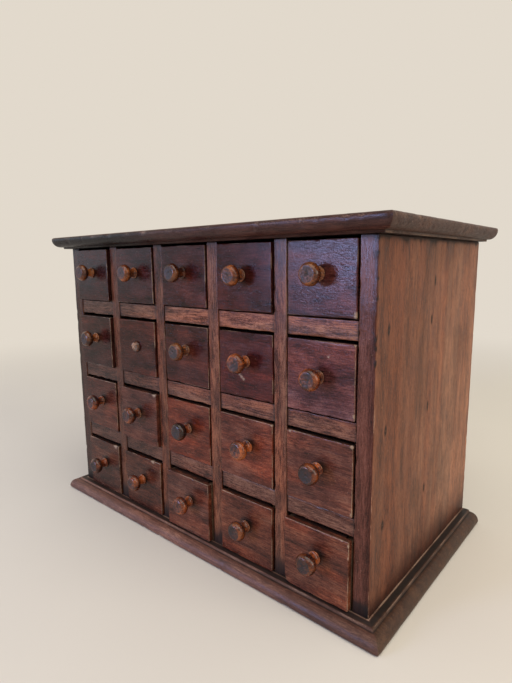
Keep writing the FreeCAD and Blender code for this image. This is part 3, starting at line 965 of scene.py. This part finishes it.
def make_drawer_box(name, seed):
    """The two sides, back and bottom behind a drawer's front, joined as one piece."""
    low, high = node_box("drawer_" + name)
    side_top = high[2] - SIDE_DROP
    bottom_z = low[2] + BOTTOM_RISE
    bottom_top = bottom_z + BOTTOM_THICKNESS
    inner = (low[0] + DRAWER_SIDE, high[0] - DRAWER_SIDE)
    groove = (
        (inner[0] - GROOVE_DEPTH, low[1] + FRONT_THICKNESS - GROOVE_DEPTH, bottom_z),
        (inner[1] + GROOVE_DEPTH, high[1] + MM, bottom_top),
    )
    side_start = low[1] + FRONT_LIP
    boxes = [
        ("y", (low[0], side_start, low[2]), (inner[0], high[1], side_top), [groove]),
        ("y", (inner[1], side_start, low[2]), (high[0], high[1], side_top), [groove]),
        ("x", (inner[0], high[1] - DRAWER_BACK, bottom_top), (inner[1], high[1], side_top), []),
        ("y", groove[0], (groove[1][0], high[1], bottom_top), []),
    ]
    parts = []
    for number, (along, box_low, box_high, cuts) in enumerate(boxes):
        part = board(
            f"drawer_board_{number}", (box_low, box_high), INNER_WOOD, along, seed + 10 * number,
            step=(4 * MM, 6 * MM, 4 * MM),
            arris=THIN_ARRIS,
            hollow=THIN_HOLLOW,
            cuts=cuts,
            shade_and_dirt=[(front_box(name), 6 * MM, 0.5)],
        )
        parts.append(part)
    with bpy.context.temp_override(active_object=parts[0], selected_editable_objects=parts):
        bpy.ops.object.join()
    parts[0].name = "drawer_box_" + name
    dress(parts[0], "drawer_" + name, "drawer_wood", "drawer_" + name)


# ---- knobs ----

DIRTY_KNOBS = ("r1c1", "r1c3", "r2c1", "r2c3", "r3c3", "r3c5", "r4c1", "r4c5")


def quarter(start, corner, end, count=7):
    """Points of a quarter round from start to end that bulges towards their corner."""
    start, corner, end = map(np.array, (start, corner, end))
    turn = np.linspace(0, math.pi / 2, count)[:, None]
    centre = start + end - corner
    return [tuple(p) for p in centre + (start - centre) * np.cos(turn) + (end - centre) * np.sin(turn)]


def knob_profile(radius, length, random):
    """A turned knob in section as (radius, distance from the drawer), foot to face."""
    fat = random.uniform(-0.25, 0.25) * MM
    rim = RIM_PLACE + random.uniform(-0.5, 0.4) * MM
    face = FACE_RADIUS + random.uniform(-0.5, 0.3) * MM
    neck = NECK_RADIUS + random.uniform(-0.3, 0.3) * MM
    collar, thick = COLLAR_RADIUS, COLLAR_THICKNESS
    back = radius - HEAD_UNDERCUT + fat
    points = [(0.0, 0.0), (0.5 * collar, 0.0), (collar - 0.3 * MM, 0.0)]
    points += quarter((collar - 0.3 * MM, 0), (collar, 0), (collar, 0.45 * thick), 4)
    points += quarter((collar, 0.55 * thick), (collar, thick), (collar - 0.9 * MM, thick), 5)
    points += [(collar - 1.1 * MM, thick + 0.25 * MM), (neck + 0.25 * MM, 0.72 * NECK_PLACE)]
    points += quarter((neck, NECK_PLACE), (neck, HEAD_BACK), (back - 0.4 * MM, HEAD_BACK))
    bead_end = (back + 0.12 * MM, HEAD_BACK + 0.5 * MM)
    points += quarter((back - 0.4 * MM, HEAD_BACK), (back, HEAD_BACK), bead_end, 4)
    points += [(0.5 * (back + radius) + 0.1 * MM, 0.5 * (HEAD_BACK + rim))]
    points += quarter((radius - 0.05 * MM, rim - 0.6 * MM), (radius, rim - 0.3 * MM), (radius, rim), 3)
    points += quarter((radius, rim), (radius, length), (face, length), 11)
    steps = np.linspace(1, 0, 9)[1:]
    points += [(face * step, length - 0.25 * MM * (1 - step) ** 0.5) for step in steps]
    kept = [points[0]]
    for point in points[1:]:
        if math.dist(point, kept[-1]) > 0.03 * MM:
            kept.append(point)
    return np.array(kept)


def lathe(profile):
    """Points and faces of a turned shape, for a section closed on its axis."""
    turn = np.linspace(0, 2 * math.pi, KNOB_SIDES, endpoint=False)
    rings = profile[1:-1]
    points = [np.array([[0, -profile[0][1], 0]])]
    for radius, out in rings:
        points.append(np.stack([radius * np.cos(turn), np.full(KNOB_SIDES, -out), radius * np.sin(turn)], 1))
    points.append(np.array([[0, -profile[-1][1], 0]]))
    faces = []
    last = len(rings) * KNOB_SIDES + 1
    for k in range(KNOB_SIDES):
        nearby = (k + 1) % KNOB_SIDES
        faces.append([0, 1 + k, 1 + nearby])
        for a in range(1, last - KNOB_SIDES, KNOB_SIDES):
            b = a + KNOB_SIDES
            faces.append([a + k, b + k, b + nearby, a + nearby])
        faces.append([b + k, last, b + nearby])
    return np.concatenate(points), faces


def make_knob(name, seed):
    """A turned knob with a rubbed head, and a dark, ridged end-grain face."""
    random = np.random.default_rng(seed)
    centre, radius, length = knob_axis(name)
    points, faces = lathe(knob_profile(radius, length, random))
    x, y, z = points.T  # these follow what the points become below
    out = -y
    from_axis = np.hypot(x, z)
    on_face = rise(out, length - 1.1 * MM, length - 0.2 * MM) * (from_axis < FACE_RADIUS + 0.6 * MM)

    # ridges and pits of the face, then a head that isn't quite round
    lean = random.uniform(0, math.pi)
    across = x * math.cos(lean) + z * math.sin(lean)
    ridges = 0.5 + 0.5 * np.sin(across / (0.5 * MM) + 2 * field(points, 2 * MM, seed))
    hollow = 0.12 * ridges + 0.2 * field(points, 1.2 * MM, seed + 1)
    y += MM * hollow * on_face
    pit = random.uniform(0.2, 0.9) * bell(from_axis, 0.9 * MM) * on_face
    y += 0.7 * MM * pit
    uneven = 1 - 0.02 * field(points, 4 * MM, seed + 2)
    points[:, [0, 2]] *= uneven[:, None]

    rim = bell(out - RIM_PLACE, 1.5 * MM) * (from_axis > 0.8 * radius)
    shoulder = bell(from_axis - FACE_RADIUS, 0.7 * MM) * (out > RIM_PLACE)
    wear = (0.10 * rim + 0.30 * shoulder) * (0.3 + 0.9 * field(points, 3 * MM, seed + 3))
    collar = bell(from_axis - COLLAR_RADIUS, 0.5 * MM) * (out < 2 * MM)
    wear += 0.7 * collar * field(points, 3 * MM, seed + 4)
    # painted shade under the head at the neck and round the widest ring, the knob's dark outline
    neck = bell(out - HEAD_BACK + 1.2 * MM, 1.5 * MM) * (from_axis < 0.8 * radius)
    widest_ring_shade = bell(out - RIM_PLACE + 0.8 * MM, 1.1 * MM) * (from_axis > 0.9 * radius)
    mottle = rise(field(points, 1.1 * MM, seed + 5), 0.3, 0.7)
    grime = on_face * (0.30 + 0.45 * mottle) + 0.55 * neck + 0.5 * pit + 0.85 * widest_ring_shade
    head = rise(out, HEAD_BACK - MM, HEAD_BACK + MM)
    points += centre
    blackened, row = name in DIRTY_KNOBS, int(name[1])
    darker = 0.5 if blackened else 0.3 if row == 1 else 0.05
    shade = (1 - darker * head) * (1 - 0.25 * on_face)
    redder = np.array([0.95, 0.82, 0.87]) if row > 2 else np.ones(3)
    values = {
        "grain": grain_space(points, "y", seed),
        "tint": shade[:, None] * redder * tint(points, seed, 0.2, 0.02),
        "wear": wear * (1 - 0.5 * blackened * head),
        "grime": grime + 0.1 * blackened * head,
        "polish": -0.9 * on_face,
        "pebbled": 0.5 * on_face,
    }
    obj = mesh_object("turned_knob_" + name, points, faces, KNOB_WOOD, values)
    dress(obj, "drawer_" + name, "knob_wood", "knob_" + name)


def make_stub(name, seed):
    """What is left of the broken knob: collar, neck and a slanted, splintered break."""
    centre, collar, top = knob_axis(name)
    thick, neck = COLLAR_THICKNESS, NECK_RADIUS + 0.5 * MM
    profile = [(0.0, 0.0), (0.6 * collar, 0.0), (collar, 0.1 * MM), (collar, 0.7 * thick)]
    profile += [(collar - 0.5 * MM, thick), (neck + 0.6 * MM, 1.7 * thick)]
    profile += [(neck, 0.72 * top), (neck - 0.2 * MM, 0.93 * top)]
    profile += [(neck * share, top) for share in (0.86, 0.7, 0.55, 0.4, 0.25, 0.12, 0.0)]
    points, faces = lathe(np.array(profile))
    x, y, z = points.T  # these follow what the points become below
    broken = rise(-y, 0.5 * top, 0.95 * top)
    slant = 0.5 + 0.5 * (0.5 * x - 0.85 * z) / neck
    splinters = field(points * (1, 0, 1), (0.7 * MM, MM, 0.9 * MM), seed)
    y += broken * (0.30 * top * slant + 0.32 * top * splinters)

    in_corner = 0.5 * bell(-y - thick, 0.8 * MM)
    shards = field(points * (1, 0.3, 1), (0.6 * MM, MM, 1.6 * MM), seed + 3)
    lower_right = rise(0.8 * x - 0.6 * z, -0.5 * MM, 2.5 * MM)
    on_break = 0.3 * rise(shards, 0.5, 0.8) + 0.5 * lower_right + 0.1
    points += centre
    values = {
        "grain": grain_space(points, "y", seed),
        "tint": tint(points, seed, 0.1) * (0.8, 0.9, 1.2),
        "wear": np.clip(broken * (0.35 + 0.75 * splinters), 0, 1.2),
        "grime": in_corner * (1 - broken) + broken * on_break,
    }
    obj = mesh_object("broken_knob_" + name, points, faces, KNOB_WOOD, values)
    dress(obj, "drawer_" + name, "knob_wood", "knob_" + name)


def make_drawers():
    for number, name in enumerate(DRAWERS):
        further = SEED_STEP * number
        make_front(name, SEEDS["front"] + further)
        make_drawer_box(name, SEEDS["drawer_box"] + further)
        if name == BROKEN_KNOB:
            make_stub(name, SEEDS["stub"])
        else:
            make_knob(name, SEEDS["knob"] + further)


def dress_nails():
    """The nails are right as the solids have them, and only need their iron."""
    for node in ("shelf_nails", "top_board_nails", "base_board_nails", "back_panel_pins"):
        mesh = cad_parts[node].data
        mesh.materials.clear()
        mesh.materials.append(IRON)


# ---- floor, light and camera ----

WALL_COLOUR = rgb(0.760, 0.694, 0.604)
FLOOR_COLOUR = (0.640, 0.598, 0.526)
FLOOR_RADIUS = 12.0
FLOOR_SIDES = 96
FADE_START = 0.55
FADE_END = 1.6
LIT_PLACE = (0, 0, 0.16)  # what every light points at


def make_floor():
    """A pale floor that keeps the object's shadow and fades into the backdrop far away."""
    s = Shader(bpy.data.materials.new("pale_floor"))
    place = s.node("TexCoord", {})["Object"]
    distance = s.node("VectorMath", {0: place}, operation="LENGTH")["Value"]
    cloud = s.rise(s.noise(place, (7.0, 7.0, 7.0)), 0.2, 0.8)
    colour = s.mix(cloud, darkened(FLOOR_COLOUR, 0.985), rgb(*FLOOR_COLOUR))
    near = s.node("BsdfPrincipled", {"Base Color": colour, "Roughness": 0.75})[0]
    far = s.node("Emission", {"Color": WALL_COLOUR, "Strength": 1.0})[0]
    faded = s.times(s.rise(distance, FADE_START, FADE_END), s.seen())
    material = s.surface(s.node("MixShader", {0: faded, 1: near, 2: far})[0])
    turn = np.linspace(0, 2 * math.pi, FLOOR_SIDES, endpoint=False)
    rim = FLOOR_RADIUS * np.stack([np.cos(turn), np.sin(turn), np.zeros(FLOOR_SIDES)], 1)
    floor = mesh_object("floor", rim, [range(FLOOR_SIDES)], material, {})


def make_world():
    """Soft light from all round, with the pale backdrop for what the camera sees."""
    scene.world = bpy.data.worlds.new("studio")
    s = Shader(scene.world)
    soft = s.node("Background", {"Color": rgb(1.0, 0.96, 0.90), "Strength": 0.52})[0]
    backdrop = s.node("Background", {"Color": WALL_COLOUR})[0]
    mixed = s.node("MixShader", {0: s.seen(), 1: soft, 2: backdrop})[0]
    s.node("OutputWorld", {"Surface": mixed})


def area_light(name, place, size, power, colour):
    light = bpy.data.lights.new(name, "AREA")
    light.shape = "RECTANGLE"
    light.size, light.size_y = size
    light.energy = power
    light.color = colour
    obj = new_object(name, light)
    obj.location = place
    obj.rotation_euler = (Vector(LIT_PLACE) - Vector(place)).to_track_quat("-Z", "Y").to_euler()


def make_lights():
    area_light("window", (-0.765, -1.77, 0.47), (0.45, 0.60), 20, (0.42, 0.52, 1.0))
    area_light("far_window", (-1.75, -0.95, 0.60), (0.9, 0.8), 2.2, (0.50, 0.72, 1.0))
    area_light("overhead", (0.7, -0.6, 2.2), (2.2, 2.2), 36, (1.0, 0.95, 0.88))
    area_light("right_fill", (2.0, 0.2, 0.9), (1.4, 1.4), 19, (1.0, 0.92, 0.80))


def make_camera():
    data = bpy.data.cameras.new("camera")
    data.sensor_fit = "VERTICAL"
    data.sensor_height = FRAME_HEIGHT
    data.lens = FOCAL_LENGTH
    data.clip_start, data.clip_end = 0.01, 50
    camera = new_object("camera", data)
    forward = Vector((-math.sin(YAW) * math.cos(PITCH), math.cos(YAW) * math.cos(PITCH), -math.sin(PITCH)))
    level = Vector((math.cos(YAW), math.sin(YAW), 0))
    upright = level.cross(forward)
    right = math.cos(ROLL) * level + math.sin(ROLL) * upright
    up = math.cos(ROLL) * upright - math.sin(ROLL) * level
    axes = Matrix((right, up, -forward)).transposed()
    camera.matrix_world = Matrix.Translation(CAMERA_PLACE) @ axes.to_4x4()
    scene.camera = camera


scene.view_settings.view_transform = "Standard"
make_camera()
make_sides()
make_dividers()
make_shelves()
make_back_panel()
make_moulded_boards()
make_drawers()
dress_nails()
make_floor()
make_world()
make_lights()
